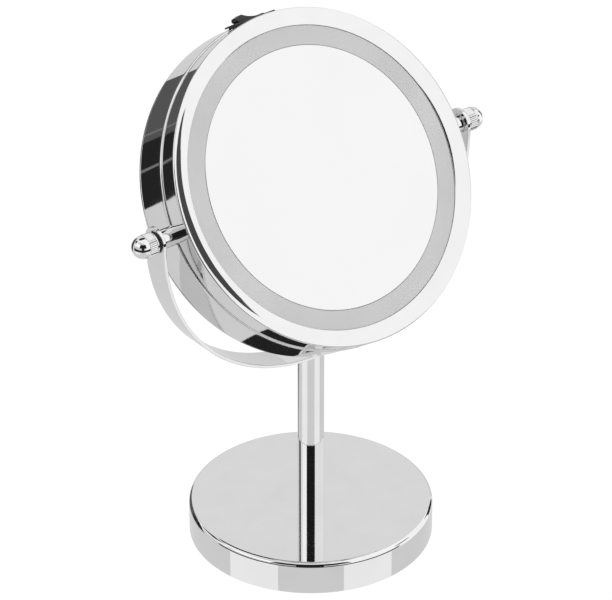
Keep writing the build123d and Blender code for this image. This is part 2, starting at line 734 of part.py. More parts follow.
DISH = MAGNIFIER_R - sqrt(MAGNIFIER_R ** 2 - MIRROR_R ** 2)
with BuildPart() as rear_mirror:
    with BuildSketch(SECTION):
        with BuildLine():
            Line((0, -FACE_REAR + DISH), (0, -FACE_REAR + DISH + 2.0))
            RadiusArc((0, -FACE_REAR + DISH + 2.0), (MIRROR_R, -FACE_REAR + 2.0), MAGNIFIER_R)
            Line((MIRROR_R, -FACE_REAR + 2.0), (MIRROR_R, -FACE_REAR))
            RadiusArc((MIRROR_R, -FACE_REAR), (0, -FACE_REAR + DISH), -MAGNIFIER_R)
        make_face()
    revolve(axis=HEAD_AXIS)
finish_piece(rear_mirror, "rear_mirror")

with BuildPart() as rear_tray:
    with BuildSketch(SECTION):
        with BuildLine():
            Polyline(
                (0, -16.3), (60.0, -16.3), (64.0, -18.3), (MIRROR_R - 0.5, -18.95), (MIRROR_R + 0.1, -18.5),
                (MIRROR_R + 0.3, -12.0), (TROUGH_IN, -12.0), (TROUGH_IN, -15.0), (0, -15.0), close=True,
            )
        make_face()
    revolve(axis=HEAD_AXIS)
finish_piece(rear_tray, "rear_tray")

# ================================================================ head: pivots and knobs, one set each side
STUD_HEAD_R = 3.7
STUD_HEAD_START = 76.2
STUD_HEAD_H = 2.8

for side, side_name in ((-1, "left"), (1, "right")):
    with BuildPart() as pivot_block:
        with BuildSketch(HEAD.offset(-7.0)):
            with Locations((side * 78.0, 0)):
                Rectangle(8.0, 16.0)
        extrude(amount=11.3)
        with BuildSketch(HEAD.offset(-0.2)):
            with Locations((side * 67.5, 0)):
                Rectangle(13.0, 16.0)
            with Locations((side * BRACKET_SCREW_X, -5), (side * BRACKET_SCREW_X, 5)):
                Circle(SCREW_HOLE_R, mode=Mode.SUBTRACT)
        extrude(amount=1.6)
        with BuildSketch(side_plane(70.0, side)):
            Circle(STUD_R)
        extrude(amount=14.0, mode=Mode.SUBTRACT)
        with BuildSketch(side_plane(70.0, side)):
            Circle(STUD_HEAD_R + 0.1)
        extrude(amount=9.0, mode=Mode.SUBTRACT)
    finish_piece(pivot_block, f"pivot_block_{side_name}")

    with BuildPart() as pivot_stud:
        with BuildSketch(side_plane(STUD_HEAD_START, side)):
            Circle(STUD_HEAD_R)
        extrude(amount=STUD_HEAD_H)
        with BuildSketch(side_plane(STUD_HEAD_START, side)):
            RegularPolygon(1.6, 6)
        extrude(amount=STUD_HEAD_H / 2, mode=Mode.SUBTRACT)
        stud_start = STUD_HEAD_START + STUD_HEAD_H
        with BuildSketch(side_plane(stud_start, side)):
            Circle(STUD_R)
        extrude(amount=KNOB_START + KNOB_BARREL - 1.2 - stud_start)
    finish_piece(pivot_stud, f"pivot_stud_{side_name}")

    with BuildPart() as pivot_bush:
        with BuildSketch(side_plane(BUSH_START, side)):
            Circle(BUSH_R)
            Circle(STUD_R, mode=Mode.SUBTRACT)
        extrude(amount=BUSH_END - BUSH_START)
        chamfer(pivot_bush.edges().filter_by(GeomType.CIRCLE).group_by(Axis.X)[-1 if side > 0 else 0]
                .sort_by(SortBy.RADIUS)[-1], 0.35)
    finish_piece(pivot_bush, f"pivot_bush_{side_name}")

    with BuildPart() as pivot_washer:
        with BuildSketch(side_plane(YOKE_R + RUN, side)):
            Circle(5.5)
            Circle(STUD_R + 0.02, mode=Mode.SUBTRACT)
        extrude(amount=WASHER_T)
    finish_piece(pivot_washer, f"pivot_washer_{side_name}")

    with BuildPart() as knob:
        with BuildSketch(side_plane(KNOB_START, side)):
            Circle(KNOB_R)
            with PolarLocations(KNOB_R, KNURLS):
                Rectangle(KNURL_CUT, KNURL_CUT, rotation=45, mode=Mode.SUBTRACT)
        extrude(amount=KNOB_BARREL)
        with BuildSketch(side_plane(KNOB_START + KNOB_BARREL, side)):
            Circle(DOME_R - DOME_NECK)
        extrude(amount=DOME_NECK)
        dome_start = KNOB_START + KNOB_BARREL + DOME_NECK
        with BuildSketch(Plane(origin=PIVOT, x_dir=(side, 0, 0), z_dir=(0, -1, 0))):
            with BuildLine():
                Line((dome_start, 0), (dome_start + DOME_R, 0))
                RadiusArc((dome_start + DOME_R, 0), (dome_start, DOME_R), -DOME_R)
                Line((dome_start, DOME_R), (dome_start, 0))
            make_face()
        revolve(axis=Axis(PIVOT, (1, 0, 0)))
        with BuildSketch(side_plane(KNOB_START, side)):
            Circle(STUD_R + RUN)
        extrude(amount=KNOB_BARREL - 1.0, mode=Mode.SUBTRACT)
    finish_piece(knob, f"knob_{side_name}")
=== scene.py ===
"""Looks for the lighted vanity mirror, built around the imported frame. Metres, +Z up."""
import json
import math

import bmesh
import bpy
from mathutils import Matrix, Vector


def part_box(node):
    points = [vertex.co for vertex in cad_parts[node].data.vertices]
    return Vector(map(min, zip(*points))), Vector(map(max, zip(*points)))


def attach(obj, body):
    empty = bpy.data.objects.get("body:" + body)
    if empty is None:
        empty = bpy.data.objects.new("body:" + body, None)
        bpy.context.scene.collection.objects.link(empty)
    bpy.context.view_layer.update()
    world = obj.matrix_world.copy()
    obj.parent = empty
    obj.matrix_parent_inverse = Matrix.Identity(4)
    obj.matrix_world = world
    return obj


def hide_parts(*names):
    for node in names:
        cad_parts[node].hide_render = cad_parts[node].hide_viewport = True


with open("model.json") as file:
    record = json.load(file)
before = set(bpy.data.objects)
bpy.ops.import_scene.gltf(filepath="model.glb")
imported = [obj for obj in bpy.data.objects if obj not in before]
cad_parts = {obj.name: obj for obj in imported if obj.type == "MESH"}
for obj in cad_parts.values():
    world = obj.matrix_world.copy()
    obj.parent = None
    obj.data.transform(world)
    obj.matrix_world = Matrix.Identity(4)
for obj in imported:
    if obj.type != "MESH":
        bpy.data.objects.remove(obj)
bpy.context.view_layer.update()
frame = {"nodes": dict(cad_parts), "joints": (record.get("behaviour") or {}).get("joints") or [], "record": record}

MM = 0.001
TAU = 2 * math.pi
RING_FACETS = 288
SMALL_FACETS = 72
SHARP = 35  # degrees between two faces from which their edge stays sharp
CLOSE = 1e-6  # places nearer than this count as one
WELD = 1e-7  # points nearer than this are merged
SLIVER = 1e-8  # edges shorter than this are dissolved
ON_AXIS = 1e-9  # a radius below this is zero
STRAIGHT = 89.5  # half angle in degrees above which a corner counts as straight
FILLET_SHARE = 0.49  # most of a side that one fillet may take

# ---------------------------------------------------------------- frames and measures taken from the CAD
JOINTS = {joint["name"]: joint for joint in frame["joints"]}
PIVOT = Vector(JOINTS["head_tilt"]["pos_m"])
ACROSS = Vector((1, 0, 0))
FORWARD = -Vector(JOINTS["rear_frame_twist"]["axis"]).normalized()
RIMWARD = FORWARD.cross(ACROSS)


def frame_of(origin, x_axis, y_axis, z_axis):
    """Matrix that carries local points to the row frame."""
    turn = Matrix((x_axis, y_axis, z_axis)).transposed().to_4x4()
    return Matrix.Translation(origin) @ turn


HEAD = frame_of(PIVOT, ACROSS, RIMWARD, FORWARD)
UPRIGHT = Matrix.Identity(4)


def local_points(node, matrix):
    """A node's points in a local frame."""
    inverse = matrix.inverted()
    return [inverse @ vertex.co for vertex in frame["nodes"][node].data.vertices]


def turned_span(node, matrix):
    """(smallest radius, largest radius, lowest, highest) about a local frame's z axis."""
    points = local_points(node, matrix)
    radii = [math.hypot(p.x, p.y) for p in points]
    heights = [p.z for p in points]
    return min(radii), max(radii), min(heights), max(heights)


# ---------------------------------------------------------------- mesh helpers
def arc_corner(before, corner, after, radius, steps):
    """Points of a fillet at one corner of an outline."""
    a = Vector(before) - Vector(corner)
    b = Vector(after) - Vector(corner)
    a_len, b_len = a.length, b.length
    a.normalize()
    b.normalize()
    half = math.acos(max(-1, min(1, a.dot(b)))) / 2
    if radius <= 0 or half > math.radians(STRAIGHT):
        return [tuple(corner)]
    reach = min(radius / math.tan(half), FILLET_SHARE * a_len, FILLET_SHARE * b_len)
    radius = reach * math.tan(half)
    centre = Vector(corner) + (a + b).normalized() * (radius / math.sin(half))
    start = Vector(corner) + a * reach - centre
    end = Vector(corner) + b * reach - centre
    sweep = start.angle_signed(end)
    points = []
    for step in range(steps + 1):
        angle = -sweep * step / steps
        c, s = math.cos(angle), math.sin(angle)
        points.append((centre.x + c * start.x - s * start.y, centre.y + s * start.x + c * start.y))
    return points


def rounded(corners, steps=6):
    """Closed outline from (x, y, fillet radius) corners."""
    outline = []
    count = len(corners)
    for index, (x, y, radius) in enumerate(corners):
        before = corners[index - 1][:2]
        after = corners[(index + 1) % count][:2]
        outline += arc_corner(before, (x, y), after, radius, steps)
    return outline


def new_piece(name, bm, matrix, sharp=SHARP, weighted=True):
    """Turn a bmesh in a local frame into an object in the row frame, with clean shading."""
    bmesh.ops.remove_doubles(bm, verts=bm.verts, dist=WELD)
    bmesh.ops.recalc_face_normals(bm, faces=bm.faces)
    bm.transform(matrix)
    mesh = bpy.data.meshes.new(name)
    bm.to_mesh(mesh)
    bm.free()
    mesh.shade_smooth()
    mesh.set_sharp_from_angle(angle=math.radians(sharp))
    piece = bpy.data.objects.new(name, mesh)
    bpy.context.scene.collection.objects.link(piece)
    if weighted:
        even = piece.modifiers.new("even_shading", "WEIGHTED_NORMAL")
        even.mode = "FACE_AREA"
        even.weight = 80
        even.keep_sharp = True
    return piece


def apply_modifiers(piece):
    """Keep the evaluated mesh and drop the modifiers."""
    bpy.context.view_layer.update()
    evaluated = piece.evaluated_get(bpy.context.evaluated_depsgraph_get())
    mesh = bpy.data.meshes.new_from_object(evaluated)
    piece.modifiers.clear()
    piece.data = mesh


def lathe(name, outline, matrix, facets=RING_FACETS, shape=None, sharp=SHARP):
    """Turn a closed (radius, height) outline about z; shape(radius, height, angle) may bend the radius."""
    bm = bmesh.new()
    columns = []
    for facet in range(facets):
        angle = TAU * facet / facets
        column = []
        for radius, height in outline:
            r = shape(radius, height, angle) if shape else radius
            column.append(bm.verts.new((r * math.cos(angle), r * math.sin(angle), height)))
        columns.append(column)
    count = len(outline)
    for facet in range(facets):
        here, there = columns[facet], columns[(facet + 1) % facets]
        for index in range(count):
            following = (index + 1) % count
            if outline[index][0] < ON_AXIS and outline[following][0] < ON_AXIS:
                continue
            bm.faces.new((here[index], there[index], there[following], here[following]))
    bmesh.ops.remove_doubles(bm, verts=bm.verts, dist=WELD)
    bmesh.ops.dissolve_degenerate(bm, edges=bm.edges, dist=SLIVER)
    return new_piece(name, bm, matrix, sharp)


def loft(name, loops, matrix):
    """Skin closed loops of equal length and cap the ends."""
    bm = bmesh.new()
    rows = [[bm.verts.new(point) for point in loop] for loop in loops]
    for row, following in zip(rows, rows[1:]):
        for index in range(len(row)):
            other = (index + 1) % len(row)
            bm.faces.new((row[index], row[other], following[other], following[index]))
    bm.faces.new(list(reversed(rows[0])))
    bm.faces.new(rows[-1])
    return new_piece(name, bm, matrix)


def finish(piece, body, slot, material, *nodes):
    """Give a piece its material, body and the CAD nodes it stands for; the slot argument is not used."""
    piece.data.materials.clear()
    piece.data.materials.append(material)
    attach(piece, body)
    if nodes:
        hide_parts(*nodes)


# ---------------------------------------------------------------- materials
DRIFT_START = 0.3  # noise is mostly between these two values
DRIFT_END = 0.7
COLOUR_DETAIL = 3
RELIEF_DETAIL = 4


def grey(level):
    """Neutral colour."""
    return level, level, level


def material_base(name, colour, metallic, roughness):
    """New Principled material; returns it with its node tree and shader."""
    material = bpy.data.materials.new(name)
    material.use_nodes = True
    tree = material.node_tree
    shader = tree.nodes["Principled BSDF"]
    shader.inputs["Base Color"].default_value = (*colour, 1)
    shader.inputs["Metallic"].default_value = metallic
    shader.inputs["Roughness"].default_value = roughness
    return material, tree, shader


def object_noise(tree, scale, detail):
    """Noise in object coordinates."""
    coordinates = tree.nodes.new("ShaderNodeTexCoord")
    noise = tree.nodes.new("ShaderNodeTexNoise")
    noise.inputs["Scale"].default_value = scale
    noise.inputs["Detail"].default_value = detail
    tree.links.new(coordinates.outputs["Object"], noise.inputs["Vector"])
    return noise.outputs["Fac"]


def spread(tree, value, low, high):
    """Number between two numbers by a noise value."""
    mapping = tree.nodes.new("ShaderNodeMapRange")
    mapping.inputs["From Min"].default_value = DRIFT_START
    mapping.inputs["From Max"].default_value = DRIFT_END
    mapping.inputs["To Min"].default_value = low
    mapping.inputs["To Max"].default_value = high
    tree.links.new(value, mapping.inputs["Value"])
    return mapping.outputs["Result"]


def tint(tree, value, low, high):
    """Colour between two colours by a noise value."""
    ramp = tree.nodes.new("ShaderNodeValToRGB")
    ramp.color_ramp.elements[0].position = DRIFT_START
    ramp.color_ramp.elements[1].position = DRIFT_END
    ramp.color_ramp.elements[0].color = (*low, 1)
    ramp.color_ramp.elements[1].color = (*high, 1)
    tree.links.new(value, ramp.inputs["Fac"])
    return ramp.outputs["Color"]


def add_bump(tree, shader, height, strength, distance):
    """Small relief from a height value."""
    bump = tree.nodes.new("ShaderNodeBump")
    bump.inputs["Strength"].default_value = strength
    bump.inputs["Distance"].default_value = distance
    tree.links.new(height, bump.inputs["Height"])
    tree.links.new(bump.outputs["Normal"], shader.inputs["Normal"])


def varied(name, low, high, metallic, roughness, scale, relief=None):
    """Material whose colour and roughness drift slightly; relief is its bumps' (strength, scale, depth)."""
    rough_low, rough_high = roughness
    material, tree, shader = material_base(name, high, metallic, rough_high)
    drift = object_noise(tree, scale, COLOUR_DETAIL)
    tree.links.new(tint(tree, drift, low, high), shader.inputs["Base Color"])
    tree.links.new(spread(tree, drift, rough_low, rough_high), shader.inputs["Roughness"])
    if relief:
        strength, relief_scale, depth = relief
        add_bump(tree, shader, object_noise(tree, relief_scale, RELIEF_DETAIL), strength, depth)
    return material


CHROME = varied("polished_chrome", grey(0.79), grey(0.82), 1.0, (0.015, 0.05), 55)
MIRROR = varied("silvered_glass", grey(0.825), grey(0.84), 1.0, (0.0, 0.012), 25)
FROST = varied("frosted_glass", grey(0.43), grey(0.475), 0.0, (0.42, 0.55), 30, (0.15, 2600, 0.05 * MM))
BLACK = varied("satin_black_plastic", (0.012, 0.012, 0.013), (0.02, 0.02, 0.022), 0.0, (0.28, 0.4), 300,
               (0.12, 2400, 0.05 * MM))
NYLON = varied("black_nylon", grey(0.015), grey(0.03), 0.0, (0.5, 0.65), 400)
WHITE = varied("white_moulding", (0.80, 0.80, 0.79), (0.86, 0.86, 0.85), 0.0, (0.4, 0.5), 80)
BOARD = varied("solder_mask", (0.03, 0.17, 0.07), (0.05, 0.24, 0.10), 0.0, (0.3, 0.45), 200)
PHOSPHOR = varied("led_phosphor", (0.85, 0.72, 0.25), (0.92, 0.82, 0.38), 0.0, (0.25, 0.4), 900)
CELL = varied("cell_jacket", (0.08, 0.085, 0.10), (0.13, 0.135, 0.15), 0.6, (0.25, 0.35), 150)
NICKEL = varied("nickel_spring", (0.58, 0.58, 0.56), (0.66, 0.66, 0.64), 1.0, (0.2, 0.35), 250)
WIRE = varied("wire_insulation", (0.38, 0.02, 0.02), (0.48, 0.04, 0.04), 0.0, (0.35, 0.5), 300)
ZINC = varied("zinc_plate", (0.55, 0.56, 0.57), (0.66, 0.67, 0.68), 1.0, (0.25, 0.42), 120,
              (0.2, 900, 0.05 * MM))
IRON = varied("raw_casting", grey(0.08), grey(0.14), 0.7, (0.6, 0.8), 90, (0.5, 700, 0.3 * MM))
FOAM = varied("closed_cell_foam", (0.022, 0.022, 0.024), (0.045, 0.045, 0.048), 0.0, (0.8, 0.95), 300,
              (0.8, 1500, 0.2 * MM))
TAPE = varied("foam_tape", (0.78, 0.78, 0.74), (0.86, 0.86, 0.82), 0.0, (0.7, 0.9), 200)

SLOT_MATERIALS = {
    "chrome_trim": CHROME, "mirror_glass": MIRROR, "frosted_ring": FROST, "switch_black": BLACK,
    "washer_black": NYLON, "white_plastic": WHITE, "board_green": BOARD, "led_yellow": PHOSPHOR,
    "cell_wrap": CELL, "contact_metal": NICKEL, "wire_insulation": WIRE, "steel_zinc": ZINC,
    "iron_weight": IRON, "pad_foam": FOAM, "foam_tape": TAPE,
}


def dress_cad_nodes():
    """Every carried-over CAD node takes the material of its slot."""
    for subpart in frame["record"]["subparts"]:
        node = frame["nodes"][subpart["node"]]
        node.data.materials.clear()
        node.data.materials.append(SLOT_MATERIALS[subpart["material_slot"]])


# ---------------------------------------------------------------- stand
def make_base():
    """Chrome cover with a rounded top edge, and the foam pad under it."""
    _, outer, low, high = turned_span("base_cover", UPRIGHT)
    wall = 1.2 * MM
    edge = 2.5 * MM
    inner_edge = 1.2 * MM
    bore = 3.2 * MM
    pad_facets = 144
    outline = rounded([
        (bore, high - wall, 0), (outer - wall, high - wall, inner_edge), (outer - wall, low, 0.2 * MM),
        (outer, low, 0.3 * MM), (outer, high, edge), (bore, high, 0),
    ], 10)
    finish(lathe("base_cover_skin", outline, UPRIGHT), "stand", "chrome_trim", CHROME, "base_cover")
    _, pad_r, pad_low, pad_high = turned_span("base_pad", UPRIGHT)
    pad = rounded([
        (0, pad_low, 0), (pad_r, pad_low, 0.5 * MM), (pad_r, pad_high, 0.2 * MM), (0, pad_high, 0),
    ])
    finish(lathe("base_pad_foam", pad, UPRIGHT, pad_facets), "stand", "pad_foam", FOAM, "base_pad")


YOKE_LOW, YOKE_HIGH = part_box("yoke_strap")
YOKE_R = YOKE_HIGH.x
YOKE_HALF = YOKE_HIGH.y
YOKE_CENTRE = YOKE_LOW.z + YOKE_R
YOKE_THICK = 1.8 * MM


def make_stem():
    """Plain tube whose top is coped to the yoke's curve."""
    _, outer, low, _ = turned_span("stem_tube", UPRIGHT)
    inner = outer - 1.0 * MM
    top = YOKE_LOW.z
    facets = 96
    rows = 12
    outline = [(inner, low), (outer, low)]
    outline += [(outer, low + (top - low) * (row + 1) / rows) for row in range(rows)]
    outline += [(inner, top)]
    stem = lathe("stem_tube_skin", outline, UPRIGHT, facets)
    for vertex in stem.data.vertices:
        if abs(vertex.co.z - top) < CLOSE:
            vertex.co.z = YOKE_CENTRE - math.sqrt(YOKE_R ** 2 - vertex.co.x ** 2)
    finish(stem, "stand", "chrome_trim", CHROME, "stem_tube")


def strap_stations():
    """(x, z, inward x, inward z, half width) along the strap from the left arm's tip to the right one's."""
    end_r = YOKE_HALF
    tip_centre = YOKE_HIGH.z - end_r
    tip_half = 0.25 * MM
    left = []
    tip_steps = 18
    for step in range(tip_steps):
        turn = math.pi / 2 * step / tip_steps
        half = max(end_r * math.sin(turn), tip_half)
        left.append((-YOKE_R, tip_centre + end_r * math.cos(turn), 1, 0, half))
    arm_steps = 4
    for step in range(arm_steps):
        left.append((-YOKE_R, tip_centre + (YOKE_CENTRE - tip_centre) * step / arm_steps, 1, 0, end_r))
    stations = list(left)
    bend_steps = 192
    for step in range(bend_steps + 1):
        turn = math.pi * (1 + step / bend_steps)
        c, s = math.cos(turn), math.sin(turn)
        stations.append((YOKE_R * c, YOKE_CENTRE + YOKE_R * s, -c, -s, end_r))
    stations += [(-x, z, -dx, dz, half) for x, z, dx, dz, half in reversed(left)]
    return stations


def make_yoke():
    """Flat strap bent to a half circle, with rounded tips and softened edges."""
    soft = 0.35 * MM
    most_of_half = 0.45
    loops = []
    for x, z, dx, dz, half in strap_stations():
        corner = min(soft, half * most_of_half)
        section = rounded([
            (0, -half, corner), (YOKE_THICK, -half, corner), (YOKE_THICK, half, corner), (0, half, corner),
        ], 4)
        loops.append([(x + depth * dx, width, z + depth * dz) for depth, width in section])
    finish(loft("yoke_strap_skin", loops, UPRIGHT), "stand", "chrome_trim", CHROME, "yoke_strap")


def make_yoke_screw():
    """Button-head screw with a hexagonal socket."""
    points = [v.co for v in frame["nodes"]["yoke_screw"].data.vertices]
    top = max(p.z for p in points)
    bottom = min(p.z for p in points)
    head_r = max(math.hypot(p.x, p.y) for p in points)
    under = top - 2.0 * MM
    head_round = 1.3 * MM
    socket = 1.3 * MM
    socket_end = top - 1.1 * MM
    shank = 2.0 * MM

    def hex_socket(radius, height, angle):
        if radius > socket * 1.01 or height < under:
            return radius
        return radius / math.cos((angle % (TAU / 6)) - TAU / 12)

    outline = [(0, bottom), (shank, bottom), (shank, under)]
    outline += rounded([
        (shank, under, 0), (head_r, under, 0.2 * MM), (head_r, top, head_round), (socket, top, 0),
    ])[1:]
    outline += [(socket, socket_end), (0, socket_end)]
    screw = lathe("yoke_screw_skin", outline, UPRIGHT, SMALL_FACETS, hex_socket)
    finish(screw, "stand", "chrome_trim", CHROME, "yoke_screw")


# ---------------------------------------------------------------- head: rim
SHELL_WALL = 1.6 * MM
SKIRT_WALL = 1.6 * MM


def shell_outline(sign, start, end, outer, inner, rib, rib_h, seat_r):
    """Half of the rim's wall with its inner rib and the seat for the seam band."""
    edge = 0.4 * MM
    return rounded([
        (rib, 0, 0), (seat_r, 0, 0), (seat_r, sign * start, 0), (outer, sign * start, edge),
        (outer, sign * end, edge), (inner, sign * end, 0.15 * MM), (inner, sign * rib_h, 0.3 * MM),
        (rib, sign * rib_h, 0.2 * MM),
    ], 4)


def cut_piece(piece, cutter):
    """Cut a solid out of a piece for good."""
    cut = piece.modifiers.new("cut", "BOOLEAN")
    cut.operation = "DIFFERENCE"
    cut.solver = "EXACT"
    cut.object = cutter
    piece.modifiers.move(0, len(piece.modifiers) - 1)
    apply_modifiers(piece)
    piece.data.set_sharp_from_angle(angle=math.radians(SHARP))


def switch_slot(rim_r):
    """Block that cuts the switch's slot out of the rim, a little larger than the housing's body."""
    gap = 0.1 * MM
    inwards = 5 * MM
    beyond = 1.2
    points = local_points("switch_housing", HEAD)
    bottom = min(p.y for p in points)
    body = [p for p in points if p.y < bottom + MM]
    half_x = max(abs(p.x) for p in body) + gap
    z_low = min(p.z for p in body) - gap
    z_high = max(p.z for p in body) + gap
    bm = bmesh.new()
    bmesh.ops.create_cube(bm, size=1)
    for vertex in bm.verts:
        x = math.copysign(half_x, vertex.co.x)
        y = bottom - inwards if vertex.co.y < 0 else rim_r * beyond
        z = z_low if vertex.co.z < 0 else z_high
        vertex.co = Vector((x, y, z))
    return new_piece("switch_slot_cutter", bm, HEAD, weighted=False)


def make_rim():
    """Front and rear shells with the raised seam band between them."""
    _, seam_r, seam_low, seam_high = turned_span("seam_band", HEAD)
    seam_in = seam_r - 1.7 * MM
    seam_edge = 0.7 * MM
    rib, outer, _, front = turned_span("front_shell", HEAD)
    _, _, rear, _ = turned_span("rear_shell", HEAD)
    inner = outer - SHELL_WALL
    rib_h = 1.4 * MM
    slot = switch_slot(outer)
    pieces = (
        ("front_shell", shell_outline(1, seam_high, front, outer, inner, rib, rib_h, seam_in)),
        ("rear_shell", shell_outline(-1, seam_high, -rear, outer, inner, rib, rib_h, seam_in)),
        ("seam_band", rounded([
            (seam_in, seam_low, 0.1 * MM), (seam_r, seam_low, seam_edge),
            (seam_r, seam_high, seam_edge), (seam_in, seam_high, 0.1 * MM),
        ], 8)),
    )
    for node, outline in pieces:
        piece = lathe(node + "_skin", outline, HEAD)
        cut_piece(piece, slot)
        finish(piece, "head", "chrome_trim", CHROME, node)
    bpy.data.objects.remove(slot)


# ---------------------------------------------------------------- head: front and rear faces
RING_LIP = 0.8 * MM


def bezel_outline(sign, outer, face, opening, seat, shell_edge, skirt_out, skirt_end):
    """Trim ring section: outer bead, crowned face sloping in to the light ring, skirt inside the shell."""
    slope = 1.85 * MM
    crown = 0.35 * MM
    bead = 0.8 * MM
    rows = 14
    first_row = 3  # the bead's rounding takes the rows before it
    skirt_in = skirt_out - SKIRT_WALL
    corners = [
        (skirt_out, sign * shell_edge, 0), (outer, sign * shell_edge, 0.4 * MM), (outer, sign * face, bead),
    ]
    for row in range(first_row, rows):
        u = row / rows
        drop = slope * u - crown * 4 * u * (1 - u)
        corners.append((outer + (opening - outer) * u, sign * (face - drop), 0))
    corners += [
        (opening, sign * (face - slope), 0.25 * MM), (opening, sign * seat, 0),
        (skirt_in, sign * seat, 0.2 * MM), (skirt_in, sign * skirt_end, 0.2 * MM),
        (skirt_out, sign * skirt_end, 0.2 * MM),
    ]
    return rounded(corners, 8)


def ring_outline(ring_in, ring_out, back, face, seat, opening):
    """Light ring section: flange behind the trim ring, and a raised face that fills its opening."""
    raised = opening - 0.1 * MM
    edge = 0.12 * MM
    return rounded([
        (ring_in, back, 0), (ring_out, back, 0), (ring_out, seat, 0), (raised, seat, 0),
        (raised, face, edge), (ring_in, face, edge),
    ], 4)


def make_front_face():
    """Front trim ring, frosted light ring and mirror."""
    opening, bezel_r, skirt_end, face = turned_span("front_bezel", HEAD)
    _, shell_r, _, shell_front = turned_span("front_shell", HEAD)
    ring_in, ring_out, ring_low, ring_face = turned_span("front_light_ring", HEAD)
    seat = ring_face - RING_LIP
    bore = shell_r - SHELL_WALL
    outline = bezel_outline(1, bezel_r, face, opening, seat, shell_front, bore, skirt_end)
    finish(lathe("front_bezel_skin", outline, HEAD), "head", "chrome_trim", CHROME, "front_bezel")
    outline = ring_outline(ring_in, ring_out, ring_low, ring_face, seat, opening)
    finish(lathe("front_light_ring_skin", outline, HEAD), "head", "frosted_ring", FROST, "front_light_ring")
    _, mirror_r, mirror_low, mirror_face = turned_span("front_mirror", HEAD)
    glass = rounded([
        (0, mirror_low, 0), (mirror_r, mirror_low, 0.1 * MM), (mirror_r, mirror_face, 0.35 * MM),
        (0, mirror_face, 0),
    ], 5)
    finish(lathe("front_mirror_skin", glass, HEAD), "head", "mirror_glass", MIRROR, "front_mirror")


def make_rear_face():
    """Rear trim ring, light ring and concave magnifying mirror, on the twist-off frame."""
    opening, bezel_r, face, skirt_end = turned_span("rear_bezel", HEAD)
    _, shell_r, shell_rear, _ = turned_span("rear_shell", HEAD)
    ring_in, ring_out, ring_face, ring_high = turned_span("rear_light_ring", HEAD)
    seat = ring_face + RING_LIP
    shell_gap = 0.15 * MM
    skirt_out = shell_r - 2.0 * MM
    shell_edge = -shell_rear + shell_gap
    outline = bezel_outline(-1, bezel_r, -face, opening, -seat, shell_edge, skirt_out, -skirt_end)
    finish(lathe("rear_bezel_skin", outline, HEAD), "rear_frame", "chrome_trim", CHROME, "rear_bezel")
    outline = ring_outline(ring_in, ring_out, ring_high, ring_face, seat, opening)
    ring = lathe("rear_light_ring_skin", outline, HEAD)
    finish(ring, "rear_frame", "frosted_ring", FROST, "rear_light_ring")
    _, mirror_r, mirror_face, mirror_high = turned_span("rear_mirror", HEAD)
    thick = 2.0 * MM
    dish = mirror_high - mirror_face - thick
    rows = 28
    front = []
    for row in range(rows + 1):
        u = row / rows
        front.append((mirror_r * u, mirror_face + dish * (1 - u ** 2)))
    back = [(r, h + thick) for r, h in reversed(front)]
    glass = lathe("rear_mirror_skin", front + back, HEAD)
    finish(glass, "rear_frame", "mirror_glass", MIRROR, "rear_mirror")


# ---------------------------------------------------------------- head: pivots and knobs
def side_frame(side):
    """Local frame whose z axis points outwards along the pivot axis."""
    out = ACROSS * side
    up = Vector((0, 0, 1))
    return frame_of(PIVOT, up.cross(out), up, out)


def make_pivot(side, name):
    """Spacer bush, washer and knurled thumb knob of one side."""
    matrix = side_frame(side)
    _, bush_r, bush_low, bush_high = turned_span(f"pivot_bush_{name}", matrix)
    stud_r = 2.5 * MM
    bush = rounded([
        (stud_r, bush_low, 0), (bush_r, bush_low, 0), (bush_r, bush_high, 0.5 * MM), (stud_r, bush_high, 0),
    ])
    finish(lathe(f"pivot_bush_skin_{name}", bush, matrix, SMALL_FACETS), "head", "chrome_trim", CHROME,
           f"pivot_bush_{name}")
    _, washer_r, washer_low, washer_high = turned_span(f"pivot_washer_{name}", matrix)
    washer = rounded([
        (stud_r, washer_low, 0), (washer_r, washer_low, 0.2 * MM), (washer_r, washer_high, 0.2 * MM),
        (stud_r, washer_high, 0),
    ], 3)
    finish(lathe(f"pivot_washer_skin_{name}", washer, matrix, SMALL_FACETS), "head", "washer_black", NYLON,
           f"pivot_washer_{name}")
    make_knob(name, matrix, stud_r)


KNURLS = 36
KNURL_FACETS = 8


